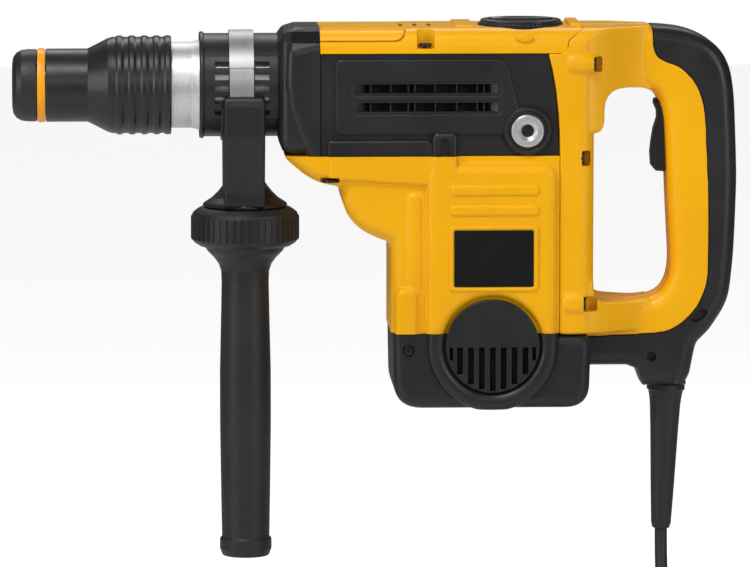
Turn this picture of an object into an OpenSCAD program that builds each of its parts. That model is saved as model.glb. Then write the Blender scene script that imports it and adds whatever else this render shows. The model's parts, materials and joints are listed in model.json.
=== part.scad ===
// Hand-held demolition hammer with an 18 mm keyed-shank socket.
// Millimetres. Origin: mouth of the tool socket, on the hammer axis.
// +X runs back to the D-handle, +Z is up, -Y is the operator's left side.

/* [Hammer line] */
// Bore radius of the tool socket
socket_r = 9.05; // [8:0.05:12]
// Depth of the tool socket
socket_depth = 85; // [60:1:100]
// Inner radius of the cylinder that the piston runs in
cylinder_r = 15; // [12:0.5:20]
// Crank throw, half of the piston stroke
crank_throw = 14; // [8:1:18]

/* [Side handle] */
// Radius of the front collar that the side handle clamps on
collar_r = 32.3; // [28:0.1:36]
// Distance of the side handle behind the socket mouth
side_x = 137.2; // [130:0.1:144]
// Radius of the side grip at mid height
grip_r = 16; // [13:0.5:20]

/* [Body] */
// Half width of the motor housing
motor_half = 46; // [40:1:55]
// Half width of the gear section over the side covers
gear_half = 42; // [36:1:50]
// Half width of the D-handle
handle_half = 21; // [16:0.5:26]
// Half width of the handle's front column
column_half = 41; // [24:0.5:44]
// Wall of the moulded shells
wall = 3; // [2:0.5:5]

/* [Cord] */
// Cord diameter
cord_d = 7.9; // [6:0.1:10]
// Mean radius of the coiled part of the cord
coil_r = 47; // [40:1:48]
// Turns in the coil
coil_turns = 9; // [4:1:9]

/* [Hidden] */
motor_x = 290.3;
crank_x = 257.3;
idler_x = 211.55;
tooth_module = 1.5;
pinion_teeth = 8;
crank_teeth = 36;
idler_teeth = 25;
gear_z0 = -46;
gear_z1 = -38;
bevel_big_r = 26;
bevel_small_r = 13;
dial_x = 310;
dial_r = 26.5;
bush_x = 311.9;
bush_z = -26;
cord_x = 399.7;
cord_top = -281;
coil_z = -400;
cord_tail = 84;
coil_pitch = 8.2;
body_y = 40;
top_z = 37.4;
yellow = [0.93, 0.65, 0.06];
black = [0.13, 0.13, 0.14];
steel = [0.72, 0.73, 0.75];
dark_steel = [0.45, 0.46, 0.48];
cast = [0.6, 0.61, 0.62];
copper = [0.72, 0.42, 0.22];
orange = [0.93, 0.55, 0.1];

// Solid of revolution about the hammer axis from [x, radius] points.
module turned_x(points) {
  rotate([0, 90, 0])
    rotate_extrude($fn = 96)
      polygon([for (p = points) [p[1], p[0]]]);
}

// Cylinder on the hammer axis.
module rod_x(r, x0, x1) {
  translate([x0, 0, 0])
    rotate([0, 90, 0])
      cylinder(r = r, h = x1 - x0, $fn = 96);
}

// Upright cylinder.
module rod_z(x, y, r, z0, z1) {
  translate([x, y, z0])
    cylinder(r = r, h = z1 - z0, $fn = 64);
}

// Cylinder across the body.
module rod_y(x, z, r, y0, y1) {
  translate([x, y1, z])
    rotate([90, 0, 0])
      cylinder(r = r, h = y1 - y0, $fn = 64);
}

// Side-view outline, given in X and Z, extruded from y0 to y1.
module slab(y0, y1) {
  translate([0, y1, 0])
    rotate([90, 0, 0])
      linear_extrude(y1 - y0)
        children();
}

// End-view outline, given in Y and Z, extruded from x0 to x1.
module end_slab(x0, x1) {
  translate([x0, 0, 0])
    rotate([90, 0, 90])
      linear_extrude(x1 - x0)
        children();
}

// Box by its two corners.
module block(a, b) {
  translate(a)
    cube([b[0] - a[0], b[1] - a[1], b[2] - a[2]]);
}

// Rounded rectangle by its two corners.
module round_rect(x0, y0, x1, y1, r) {
  translate([x0 + r, y0 + r])
    offset(r = r, $fn = 32)
      square([x1 - x0 - 2 * r, y1 - y0 - 2 * r]);
}

// Spur tooth outline with running backlash.
module spur(teeth, phase) {
  pitch_r = tooth_module * teeth / 2;
  root_r = pitch_r - 1.15 * tooth_module;
  tip_r = pitch_r + 0.75 * tooth_module;
  root_w = 0.5 * tooth_module;
  tip_w = 0.22 * tooth_module;
  circle(r = root_r, $fn = 64);
  for (i = [0 : teeth - 1])
    rotate(phase + i * 360 / teeth)
      polygon([[root_r - 1, -root_w - 0.1], [tip_r, -tip_w], [tip_r, tip_w], [root_r - 1, root_w + 0.1]]);
}

// Bevel tooth outline at the wide end.
module bevel_outline(teeth, pitch_r, addendum, phase) {
  root_r = pitch_r - 1.4 * addendum;
  tip_r = pitch_r + 0.8 * addendum;
  half = 0.13 * 2 * PI * pitch_r / teeth;
  points = [
    for (i = [0 : teeth - 1])
      for (q = [[root_r, -1.7], [tip_r, -0.7], [tip_r, 0.7], [root_r, 1.7]])
        let (a = phase + i * 360 / teeth + q[1] * half / pitch_r * 180 / PI)
          [q[0] * cos(a), q[0] * sin(a)]
  ];
  polygon(points);
}

// ---- spindle and chuck ----

module nose_cap() color(black)
  turned_x([[-8, 11.5], [-8, 15], [-6.5, 19], [-3.5, 21.6], [0, 22.6], [7.6, 22.6], [7.6, 16], [0, 16],
            [0, 11.5]]);

module marker_ring() color(orange)
  turned_x([[7.7, 16], [7.7, 23], [12.6, 23], [12.6, 16]]);

module tool_holder() color(steel)
  difference() {
    union() {
      rod_x(16, 0, 125);
      rod_x(19.6, 40, 43);
    }
    rod_x(socket_r, -1, socket_depth);
    rod_x(11, socket_depth - 1, 126);
    for (s = [-1, 1])
      block([16, s > 0 ? 8 : -17, -4], [36, s > 0 ? 17 : -8, 4]);
  }

module locking_bars() color(dark_steel)
  for (s = [-1, 1])
    block([17, s > 0 ? 9.4 : -15.4, -3.9], [35, s > 0 ? 15.4 : -9.4, 3.9]);

module cylinder_tube() color(steel)
  difference() {
    rod_x(17.5, 125, 236);
    rod_x(cylinder_r, 124, 237);
  }

module bevel_gear() color(dark_steel)
  difference() {
    union() {
      translate([idler_x + bevel_small_r, 0, 0])
        rotate([0, -90, 0])
          linear_extrude(3.4, scale = 0.74)
            bevel_outline(24, bevel_big_r, 1.9, 7.5);
      rod_x(22, idler_x + bevel_small_r, 232);
    }
    rod_x(17.5, 190, 240);
  }

module clutch_sleeve() color(dark_steel)
  difference() {
    rod_x(22, 187, 197);
    rod_x(17.56, 180, 200);
  }

module locking_sleeve() color(black)
  difference() {
    union() {
      turned_x([[12.9, 20], [12.9, 22.6], [14, 23], [39.6, 23], [53.6, 30.4], [91.2, 30.4], [91.2, 27.6],
                [54, 27.6], [52, 26], [40, 21], [38, 20]]);
      turned_x([[53.6, 28], [53.6, 30.4], [54.4, 31], [56, 31], [57, 30.4], [57, 28]]);
      for (x = [58.9, 66.7, 74.5, 82, 89.5])
        turned_x([[x - 0.8, 28], [x - 0.8, 31], [x + 0.8, 31], [x + 0.8, 28]]);
      turned_x([[24, 16.06], [24, 22], [27, 22], [27, 16.06]]);
    }
  }

module sleeve_spring() color(dark_steel)
  for (i = [0 : 3])
    translate([45 + i * 10, 0, 0])
      rotate([0, 90, 0])
        rotate_extrude($fn = 64)
          translate([19, 0])
            circle(r = 0.9, $fn = 16);

module beat_piece() color(steel)
  union() {
    rod_x(10.95, 90, 126.5);
    rod_x(14, 130, 136);
    rod_x(9, 126, 142);
  }

module striker() color(steel)
  turned_x([[172, 0], [172, 11], [175, 14.93], [193, 14.93], [193, 0]]);

module piston() color(cast)
  difference() {
    turned_x([[199, 0], [199, 14.93], [203, 14.93], [203, 13.4], [206, 13.4], [206, 14.93],
              [228, 14.93], [228, 12], [205.6, 12], [205.6, 0]]);
    rod_y(213, 0, 4, -20, 20);
  }

module piston_seal() color(black)
  turned_x([[203.2, 13.4], [203.2, 14.95], [205.8, 14.95], [205.8, 13.4]]);

module wrist_pin() color(steel)
  rod_y(213, 0, 4, -13.5, 13.5);

module connecting_rod() color(cast)
  difference() {
    union() {
      rod_y(213, 0, 6.8, -5, 5);
      block([213, -4, -5], [266, 4, 5]);
      rod_z(crank_x + crank_throw, 0, 10, -6, 6);
    }
    rod_y(213, 0, 4, -8, 8);
    rod_z(crank_x + crank_throw, 0, 5.6, -8, 8);
  }

// ---- gear train ----

module crank_gear() color(dark_steel)
  difference() {
    union() {
      translate([crank_x, 0, gear_z0])
        linear_extrude(gear_z1 - gear_z0)
          spur(crank_teeth, 0);
      rod_z(crank_x, 0, 21, gear_z1 - 1, -12);
      rod_z(crank_x, 0, 6, -54.8, gear_z0 + 1);
      rod_z(crank_x + crank_throw, 0, 5.5, -13, -7);
    }
    rod_z(crank_x - crank_throw, 0, 5, -30, -10);
  }

module intermediate_shaft() color(dark_steel)
  union() {
    translate([idler_x, 0, gear_z0])
      linear_extrude(gear_z1 - gear_z0)
        spur(idler_teeth, 7.2);
    rod_z(idler_x, 0, 8, gear_z1 - 1, -bevel_big_r + 0.5);
    rod_z(idler_x, 0, 5, -55, gear_z0 + 1);
    translate([idler_x, 0, -bevel_big_r])
      linear_extrude(6.4, scale = 0.754)
        bevel_outline(12, bevel_small_r, 0.95, 0);
  }

// ---- front end of the body ----

module barrel_tube() color(steel)
  turned_x([[88, 24], [88, 26.2], [88.6, 26.9], [106, 26.9], [108.6, 28.2], [176, 28.2], [176, 22],
            [104, 22], [104, 17], [102, 17], [102, 24]]);

module shaft_seal() color(black)
  turned_x([[93, 16.4], [93, 24], [101.8, 24], [101.8, 16.4]]);

module spindle_bearing() color(steel)
  difference() {
    rod_x(22, 104.2, 123);
    rod_x(16.05, 104, 124);
  }

module front_collar() color(black)
  difference() {
    union() {
      rod_x(collar_r, 108.6, 157.6);
      turned_x([[108.6, 30], [108.6, 32.6], [109.4, 33.4], [111, 33.4], [111.4, 30]]);
    }
    rod_x(28.2, 100, 160);
    for (s = [0, 180])
      for (a = [-27.2, -13.6, 0, 13.6, 27.2])
        rotate([a + s, 0, 0])
          block([118, 26, -1.9], [126.6, 36, 1.9]);
    for (s = [0, 180])
      for (a = [-27.2, -13.6, 0, 13.6, 27.2])
        rotate([a + s, 0, 0])
          block([143, 26, -1.9], [152, 36, 1.9]);
  }

front_line = [[157.6, 31.4], [160, 33.8], [167, top_z], [183, top_z], [183, -41.6], [160.4, -41.6],
              [157.6, -36]];

module front_housing() color(black)
  difference() {
    intersection() {
      slab(-60, 60) polygon(front_line);
      end_slab(150, 190) round_rect(-body_y, -63, body_y, top_z, 16);
    }
    rod_x(28.3, 150, 180);
    translate([2.6, 0, 0])
      intersection() {
        slab(-36, 36) offset(delta = -3.2) polygon(front_line);
        end_slab(150, 200) round_rect(-35, -56, 35, 34, 12);
      }
    end_slab(174, 190) round_rect(-35, -60, 35, 34, 11);
  }

module gear_case() color(cast)
  difference() {
    union() {
      end_slab(176.2, 302.3) round_rect(-33.4, -53, 33.4, 33.4, 9);
    }
    rod_x(17.7, 160, 190);
    end_slab(180, 298.8) round_rect(-30.4, -49, 30.4, 30.4, 6);
    rod_z(motor_x, 0, 16.3, -60, -48);
    rod_z(crank_x, 0, 6.05, -60, -48);
    rod_z(idler_x, 0, 5.05, -60, -48);
    rod_z(dial_x, 0, 12, 20, 40);
    block([278, -60, 31.2], [310, 60, 40]);
    for (s = [-1, 1])
      block([241, s > 0 ? 31.5 : -40, 21], [256.4, s > 0 ? 40 : -31.5, 40]);
  }

// ---- covers ----

cover_line = [[183.2, 22.2], [183.2, top_z], [346.8, top_z], [337.4, 30], [336.8, 25], [334.6, 22.2]];

// Bar cut into the cover along both shoulders, one step deep.
module shoulder_recess()
  difference() {
    block([180, -60, 30.6], [236, 60, 50]);
    end_slab(170, 240) round_rect(-gear_half + 1.9, -60, gear_half - 1.9, top_z - 0.9, 12.2);
  }

module top_cover() color(yellow)
  difference() {
    intersection() {
      slab(-60, 60) polygon(cover_line);
      end_slab(180, 360) round_rect(-gear_half + 1, -60, gear_half - 1, top_z, 13);
    }
    block([180, -38, 20], [242, 38, 29]);
    block([255.4, -38, 20], [280, 38, 29]);
    block([180, -33.8, 20], [242, 33.8, 34]);
    block([242, -31.6, 20], [255.4, 31.6, 34]);
    block([255.4, -33.8, 20], [280, 33.8, 34]);
    block([280, -37, 20], [331, 37, 31.4]);
    shoulder_recess();
    translate([0, 0, 34.3])
      linear_extrude(20)
        round_rect(dial_x - 27.4, -60, dial_x + 27.4, 60, 14);
    rod_z(dial_x, 0, 8.05, 30, 50);
    for (s = [-1, 1]) {
      block([243.2, s > 0 ? 32.9 : -60, 25.2], [254, s > 0 ? 60 : -32.9, 50]);
      rod_z(248.6, s * 37.2, 1.95, 20, 30);
    }
  }

module top_screw() color(dark_steel)
  for (s = [-1, 1])
    difference() {
      union() {
        rod_z(248.6, s * 37.2, 3.7, 25.3, 28.4);
        rod_z(248.6, s * 37.2, 1.9, 22.6, 26);
      }
      rod_z(248.6, s * 37.2, 1.7, 27, 30);
    }

side_line = [[183.2, -41.6], [183.2, 22], [324.4, 22], [327, 12], [329.2, 0], [330.8, -14], [331.6, -28],
             [331.8, -41.6]];

module side_cover() {
  difference() {
    union() {
      slab(-39.4, -33.6) polygon(side_line);
      slab(-gear_half, -39) polygon([[192.4, -26], [194.4, -28], [302.5, -28], [307, -14], [300.5, 11],
                                     [297, 17.6], [294, 18.6], [195.4, 18.6], [192.4, 15.6]]);
      slab(-gear_half, -39) round_rect(188, -41, 252, -31, 3);
      slab(-gear_half - 1, -39) round_rect(252.2, -41.4, 268.1, -27.5, 3);
      rod_y(bush_x, bush_z, 14.2, -gear_half - 1.5, -38);
    }
    for (z = [-15.2, -3.7])
      slab(-50, -35.6) round_rect(205.5, z, 293, z + 8.1, 2);
    rod_y(bush_x, bush_z, 10.2, -50, -36);
    rod_y(bush_x, bush_z, 8, -40, -30);
  }
  for (z = [-15.2, -3.7])
    for (x = [212 : 8 : 288])
      block([x, -40.6, z], [x + 2, -35.5, z + 8.1]);
}

module left_side_cover() color(black) side_cover();

module right_side_cover() color(black) mirror([0, 1, 0]) side_cover();

module handle_bush() {
  difference() {
    union() {
      rod_y(bush_x, bush_z, 10.2, -44.6, -36);
      rod_y(bush_x, bush_z, 8, -36.1, -26);
    }
    rod_y(bush_x, bush_z, 4, -50, -28);
    translate([bush_x, -44.7, bush_z])
      rotate([-90, 0, 0])
        rotate_extrude($fn = 64)
          polygon([[0, 0], [6, 0], [4, 2], [0, 2]]);
  }
}

module left_handle_bush() color(steel) handle_bush();

module right_handle_bush() color(steel) mirror([0, 1, 0]) handle_bush();

// ---- motor section ----

motor_line = [[161, -41.8], [161.4, -43.6], [166, -50.1], [171, -55.1], [176, -58.9],
              [184.2, -62.4], [196.7, -69.7], [199.2, -77.2], [202.9, -84.8],
              [210.4, -92.4], [226.7, -99.9], [227.3, -152.4], [331.9, -152.4], [331.9, -41.8]];

module motor_housing() color(yellow)
  difference() {
    union() {
      intersection() {
        slab(-60, 60) polygon(motor_line);
        translate([0, 0, -200])
          linear_extrude(200)
            round_rect(160, -motor_half + 3, 336, motor_half - 3, 0.4);
        end_slab(150, 380) round_rect(-motor_half + 3, -300, motor_half - 3, -41.8 + 8, 8);
      }
      for (s = [0, 1])
        mirror([0, s, 0])
          intersection() {
            slab(-motor_half, -motor_half + 8) round_rect(249.5, -240, 331, -46, 9);
            block([200, -60, -152.4], [331, 0, -41.8]);
          }
      for (s = [0, 1])
        mirror([0, s, 0])
          for (z = [-66.2, -78.8])
            slab(-motor_half - 1.4, -motor_half + 1) round_rect(263.6, z, 319.1, z + 7.2, 3.5);
    }
    block([174, -36, -55], [329, 36, -35]);
    rod_z(motor_x, 0, 38.6, -160, -62);
    rod_z(motor_x, 0, 16.2, -70, -40);
    block([250, -36, -160], [329, 36, -58]);
    block([231, -38, -160], [268, 38, -103]);
    block([206, -38, -90], [270, 38, -66]);
    slab(-motor_half - 1, -motor_half + 0.8) round_rect(265.5, -124, 316.2, -86.6, 2.5);
  }

module label_plate() color(black)
  slab(-motor_half + 0.8 - 1, -motor_half + 0.8) round_rect(266.3, -123.2, 315.4, -87.4, 2);

cap_line = [[227.3, -152.6], [229.5, -186], [236.7, -195.5], [247.9, -199.8], [340.4, -199.8],
            [347.3, -195.6], [351.1, -190], [352.2, -182], [352.2, -153.7], [331.9, -153.7],
            [331.9, -152.6]];

module end_cap() color(black)
  difference() {
    intersection() {
      union() {
        slab(-motor_half + 3, motor_half - 3) polygon(cap_line);
        slab(-motor_half - 1, motor_half + 1)
          difference() {
            union() {
              translate([motor_x, -160.2]) circle(r = 41.3, $fn = 64);
              translate([motor_x - 41.3, -160.2]) square([82.6, 7.6]);
            }
          }
      }
      block([200, -60, -199.8], [400, 60, -152.6]);
    }
    rod_z(motor_x, 0, 38.6, -196.4, -150);
    block([233, -38, -184], [270, 38, -150]);
    block([250, -36, -196.4], [331, 36, -150]);
    rod_y(motor_x, -160.2, 29.5, -60, 60);
    rod_y(237.9, -163, 3.6, -60, -41);
    rod_y(237.9, -163, 3.6, 41, 60);
  }

module vent_grille() {
  difference() {
    intersection() {
      rod_y(motor_x, -160.2, 29.4, -motor_half - 0.4, -motor_half + 3);
      block([200, -60, -202.8], [400, 0, -152.6]);
    }
    for (i = [-3 : 3])
      block([motor_x + i * 6.8 - 1.7, -60, -160.2 - sqrt(28.2 * 28.2 - pow(abs(i) * 6.8 + 1.7, 2))],
            [motor_x + i * 6.8 + 1.7, -30, -161]);
    for (s = [-1, 1])
      block([motor_x + s * 25.8 - 1, -60, -168.3], [motor_x + s * 25.8 + 1, -30, -161]);
  }
}

module left_vent_grille() color(black) vent_grille();

module right_vent_grille() color(black) mirror([0, 1, 0]) vent_grille();

module stator() color(dark_steel)
  difference() {
    rod_z(motor_x, 0, 38.4, -146, -88);
    rod_z(motor_x, 0, 26.8, -150, -80);
    for (a = [45, 135, 225, 315])
      translate([motor_x, 0, 0])
        rotate([0, 0, a])
            translate([33, 0, -150])
              cylinder(r = 3.6, h = 70, $fn = 32);
  }

module motor_bearings() color(steel)
  difference() {
    union() {
      rod_z(motor_x, 0, 16, -62, -50);
      rod_z(motor_x, 0, 14, -190, -178);
    }
    rod_z(motor_x, 0, 6.05, -200, -40);
  }

module armature_shaft() color(steel)
  union() {
    rod_z(motor_x, 0, 6, -188, gear_z0 - 1);
    translate([motor_x, 0, gear_z0 - 1])
      linear_extrude(gear_z1 - gear_z0 + 1)
        spur(pinion_teeth, 22.5);
  }

module armature_core() color(copper)
  difference() {
    rod_z(motor_x, 0, 26, -142, -92);
    rod_z(motor_x, 0, 6, -150, -80);
    for (i = [0 : 11])
      translate([motor_x, 0, 0])
        rotate([0, 0, i * 30])
          block([20, -1.2, -150], [30, 1.2, -80]);
  }

module commutator() color(copper)
  difference() {
    rod_z(motor_x, 0, 14, -170, -150);
    rod_z(motor_x, 0, 6, -180, -140);
  }

module cooling_fan() color(black)
  difference() {
    union() {
      rod_z(motor_x, 0, 36, -72, -70);
      rod_z(motor_x, 0, 11, -82, -70);
      translate([motor_x, 0, 0])
        for (i = [0 : 10])
          rotate([0, 0, i * 360 / 11])
            block([10, -0.9, -81], [35, 0.9, -71]);
    }
    rod_z(motor_x, 0, 6, -90, -60);
  }

// ---- rear handle ----

shell_line = [[347.2, top_z], [389.8, 37.2], [391.4, 32.4], [391.8, 22.8], [394.2, 18], [398.6, 15.5],
              [406.7, 12.4], [412.3, 8.3], [417.8, 1.9], [421.7, -6.2], [424.2, -17.3], [425.3, -35],
              [426.9, -72.8], [426.9, -111.3], [425.7, -124.6], [422.3, -134], [419.2, -139.7],
              [412.3, -147.3], [406.7, -151.4], [399, -154.6], [382.6, -156], [352.3, -157.2],
              [352.4, -153.5], [332.1, -153.5], [332.1, 22], [334.8, 22], [337, 24.9], [337.6, 30]];

opening_line = [[360.2, -23.6], [360.2, -12], [362.4, -5.4], [368.5, -1], [386, -1], [391.4, -3.8], [395.6, -8.5],
                [399.2, -20], [401.5, -66.5], [402.7, -90], [403.6, -111.3], [401.5, -124.5],
                [396.6, -130.5], [383, -134.8], [359.4, -134.6], [355.2, -130.6], [353.6, -125.8],
                [353.8, -29.3]];

grip_line = [[390, 37.2], [398.6, 36.8], [410.4, 35.2], [421, 31.6], [429.8, 26.2], [436.1, 19.2],
             [440.1, 10.7], [442.1, 1], [443.3, -11], [444.4, -31.8], [445, -50], [445, -66],
             [443.6, -98.7], [442.1, -118], [440.4, -130.9], [437.6, -139.1], [433.6, -146],
             [428, -154.2], [423.3, -159.1], [420.4, -162.4], [418.9, -166.2], [417.3, -173.8],
             [416.1, -181.4], [414.6, -187], [411.3, -189.2], [386.7, -188.9], [383.6, -183.9],
             [381.7, -179.2], [376, -176], [352.4, -176.3], [352.4, -157.4], [382.6, -156.2],
             [399, -154.8], [406.8, -151.6], [412.5, -147.4], [419.4, -139.8], [422.5, -134],
             [425.9, -124.6], [427.1, -111.3], [427.1, -72.8], [425.5, -35], [424.4, -17.3],
             [421.9, -6.1], [418, 2], [412.5, 8.5], [406.8, 12.6], [398.6, 15.7], [394.4, 18.2],
             [392, 22.9], [391.7, 32.4]];

module shell_outline() {
  difference() {
    polygon(shell_line);
    polygon(opening_line);
  }
}

// Head face, height and rear end of the pocket of each handle screw.
screw_points = [[354.6, 15, 362], [347.3, -44, 351.6], [348.6, -134.6, 356]];
screw_y = 37.8;

column_line = [[332.1, -153.5], [332.1, -41.6], [331.9, -28], [331.1, -14], [329.5, 0], [327.3, 12],
               [324.7, 22], [334.8, 22], [337, 24.9], [337.6, 30], [344.4, 35.3], [357.5, 35.3],
               [357.5, -21], [352.6, -27], [352.6, -153.5]];

module handle_shell() {
  difference() {
    union() {
      slab(-handle_half, -0.02) shell_outline();
      intersection() {
        slab(-column_half, -0.02) polygon(column_line);
        end_slab(300, 360) round_rect(-column_half, -200, column_half, top_z, 13);
      }
    }
    difference() {
      slab(-column_half + 2 * wall, 1) offset(delta = -wall) polygon(column_line);
      for (p = screw_points)
        block([p[0] - 15, -60, p[1] - 6.5], [p[2] + 2, -31, p[1] + 6.5]);
    }
    slab(-handle_half + wall, 1) offset(delta = -wall) shell_outline();
    block([390, -9.5, -56], [412, 1, -7]);
    for (p = screw_points) {
      block([p[0] - 3, -60, p[1] - 5], [p[2], -33.2, p[1] + 5]);
      translate([0, -screw_y, p[1]]) rod_x(2.1, p[0] - 12, p[0]);
    }
  }
}

module handle_left_shell() color(yellow) handle_shell();

module handle_right_shell() color(yellow) mirror([0, 1, 0]) handle_shell();

module handle_grip() color(black)
  difference() {
    slab(-handle_half, handle_half) polygon(grip_line);
    slab(-handle_half + wall, handle_half - wall) offset(delta = -wall) polygon(grip_line);
    translate([402.4, 0, -200]) cylinder(r = 7.2, h = 22, $fn = 48);
    translate([394, -30, -173.4]) rotate([-90, 0, 0]) cylinder(r = 3.2, h = 12, $fn = 32);
  }

module handle_screws() color(dark_steel)
  for (s = [-1, 1])
    for (p = screw_points)
      translate([0, s * screw_y, p[1]]) {
        rod_x(4.2, p[0] - 3, p[0]);
        rod_x(2, p[0] - 11.8, p[0] - 2.9);
      }

module end_cap_screws() color(dark_steel)
  for (s = [-1, 1])
    rod_y(237.9, -163, 3.4, s > 0 ? 41 : -42.4, s > 0 ? 42.4 : -41);

module switch_module() color(black)
  union() {
    block([412.5, -12, -70], [421, 12, -22]);
    block([409, -5, -50], [412.6, 5, -42]);
  }

module trigger_pin() color(steel)
  rod_y(404.5, -12.5, 2, -handle_half + wall, handle_half - wall);

trigger_line = [[393.9, -9.5], [393.6, -12.6], [395.6, -17.2], [395.8, -21.5], [393.6, -28.6],
                [392.4, -36], [391.6, -43.2], [392.1, -51.4], [394.6, -54.5], [400, -55],
                [403.8, -52], [404.2, -30], [407.6, -16], [407.6, -9.9], [404, -8.8]];

module trigger() color(black)
  difference() {
    slab(-9, 9) polygon(trigger_line);
    rod_y(404.5, -12.5, 2.05, -10, 10);
  }

// ---- mode selector ----

module selector_dial() color(black)
  union() {
    rod_z(dial_x, 0, dial_r, 34.6, 39.2);
    difference() {
      rod_z(dial_x, 0, 23, 39.1, 39.9);
      rod_z(dial_x, 0, 19, 39.3, 41);
    }
    block([dial_x - 20, -5, 39.1], [dial_x + 20, 5, 41.9]);
    rod_z(dial_x, 0, 8, 26, 35);
  }

// ---- side handle ----

module clamp_band() color(steel)
  difference() {
    rod_x(collar_r + 1.7, 127.3, 142.3);
    rod_x(collar_r + 0.06, 120, 150);
    block([120, -60, -60], [150, 60, -8]);
  }

bracket_line = [[-36.5, -8], [36.5, -8], [38, -14], [37, -30], [30, -42], [18, -58], [16, -66],
                [16, -74], [-16, -74], [-16, -66], [-18, -58], [-30, -42], [-37, -30], [-38, -14]];

module bracket() color(black)
  difference() {
    union() {
      end_slab(123.4, 149.2) polygon(bracket_line);
      translate([side_x, 0, 0])
        rotate_extrude($fn = 96)
          polygon([[0, -76.6], [26.4, -76.6], [26.4, -74], [20, -71], [14, -64], [12, -58], [0, -58]]);
    }
    rod_x(collar_r + 0.06, 100, 170);
    rod_z(side_x, 0, 4, -90, -34);
    rod_z(side_x, 0, 6.5, -38, -30);
  }

module clamp_bolt() color(steel)
  union() {
    rod_z(side_x, 0, 4, -112, -34.5);
    rod_z(side_x, 0, 6.5, -38, -34.6);
  }

module knurled_knob() color(black)
  translate([side_x, 0, -100.6])
    difference() {
      union() {
        translate([0, 0, 4])
          linear_extrude(15)
            difference() {
              circle(r = 34, $fn = 96);
              for (i = [0 : 41])
                rotate(i * 360 / 42)
                  translate([34.6, 0])
                    circle(r = 1.5, $fn = 16);
            }
        translate([0, 0, 18.9])
          cylinder(r = 32.6, h = 2.6, $fn = 96);
        translate([0, 0, 21.4])
          cylinder(r = 30.5, h = 2.2, $fn = 96);
        translate([0, 0, 1.6])
          cylinder(r = 31.5, h = 2.5, $fn = 96);
      }
      translate([0, 0, -1])
        cylinder(r = 4.05, h = 40, $fn = 48);
    }

module side_grip() color(black)
  difference() {
    translate([side_x, 0, 0])
      rotate_extrude($fn = 96)
        polygon([[0, -99.1], [25.6, -99.1], [25.2, -102], [20, -108], [16.4, -112.5], [14.8, -117],
                 [grip_r - 0.9, -140], [grip_r, -180], [grip_r, -215], [grip_r - 0.6, -260],
                 [grip_r - 1, -284], [grip_r + 0.3, -286.5], [grip_r + 0.3, -293],
                 [grip_r - 2, -297.5], [0, -297.5]]);
    rod_z(side_x, 0, 4.05, -118, -90);
    rod_z(side_x, 0, 9, -292, -122);
  }

// ---- cord ----

module cord_guard() color(black)
  translate([402.4, 0, -189.4])
    rotate([0, 1.7, 0])
      difference() {
        rotate_extrude($fn = 64)
          polygon([[0, 0], [12, 0], [12, -3.8], [10.3, -8], [8.6, -20], [8, -46], [7.2, -70],
                   [6.2, -90], [5.6, -92.4], [0, -92.4]]);
        translate([0, 0, -100])
          cylinder(r = cord_d / 2, h = 120, $fn = 48);
      }

coil_half = coil_turns / 2 * coil_pitch;
plug_side = (coil_turns - 1) / 2 * coil_pitch;
cord_sides = 12;
// Way of the cord down to its coil, as [y, z].
cord_path = [[0, -281.9], [0, -290], [-2.4, -300], [-8.6, -315], [-16.7, -330], [-25.2, -345],
             [-32.4, -360], [-36.5, -375], [-coil_half, -388], [-coil_half, coil_z + 0.8]];
cord_last = len(cord_path) - 1;

// Unit direction of the cord at a point of its path.
function cord_way(i) =
  let (step = cord_path[min(i + 1, cord_last)] - cord_path[max(i - 1, 0)])
  step / norm(step);

// Ring of points around the cord's path.
function cord_ring(i) =
  let (way = i == 0 || i >= cord_last - 1 ? [0, -1] : cord_way(i))
  [for (k = [0 : cord_sides - 1])
    let (u = cord_d / 2 * cos(360 * k / cord_sides), v = cord_d / 2 * sin(360 * k / cord_sides))
    [cord_x + u, cord_path[i][0] - v * way[1], cord_path[i][1] + v * way[0]]];

module cord() color(black)
  polyhedron(
    points = [for (i = [0 : cord_last]) each cord_ring(i)],
    faces = [
      [for (k = [cord_sides - 1 : -1 : 0]) k],
      for (i = [0 : cord_last - 1], k = [0 : cord_sides - 1])
        let (a = i * cord_sides, next = (k + 1) % cord_sides)
        [a + k, a + next, a + cord_sides + next],
      for (i = [0 : cord_last - 1], k = [0 : cord_sides - 1])
        let (a = i * cord_sides, next = (k + 1) % cord_sides)
        [a + k, a + cord_sides + next, a + cord_sides + k],
      [for (k = [0 : cord_sides - 1]) cord_last * cord_sides + k]
    ]);

// Outer shape of the coil, notched where the cord comes in, with its end down to the plug.
module cord_coil() color(black)
  difference() {
    union() {
      translate([cord_x - coil_r, 0, coil_z])
        rotate([90, 0, 0])
          rotate_extrude($fn = 96)
            translate([coil_r - cord_d / 2, -coil_half - cord_d / 2])
              square([cord_d, 2 * coil_half + cord_d]);
      rod_z(cord_x, plug_side, cord_d / 2, coil_z - cord_tail, coil_z);
    }
    translate([cord_x - 4.1, -60, coil_z + 0.8])
      cube([20, 64.1 - coil_half, 60]);
  }

module cord_tie() color(black)
  translate([cord_x - coil_r, 0, coil_z + coil_r])
    difference() {
      cube([14, 2 * coil_half + cord_d + 3, cord_d + 4.4], center = true);
      cube([20, 2 * coil_half + cord_d + 0.2, cord_d + 1.6], center = true);
    }

module cord_plug() color(black)
  translate([cord_x, plug_side, coil_z - cord_tail])
    difference() {
      union() {
        rotate_extrude($fn = 64)
          polygon([[0, 6], [5.6, 6], [6.4, 0], [9, -10], [15, -20], [17, -26], [17, -38], [0, -38]]);
        for (s = [-1, 1])
          translate([0, s * 9.5, -57])
            cylinder(r = 2.4, h = 20, $fn = 32);
      }
      translate([0, 0, 0])
        cylinder(r = cord_d / 2, h = 20, $fn = 48);
    }

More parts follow.
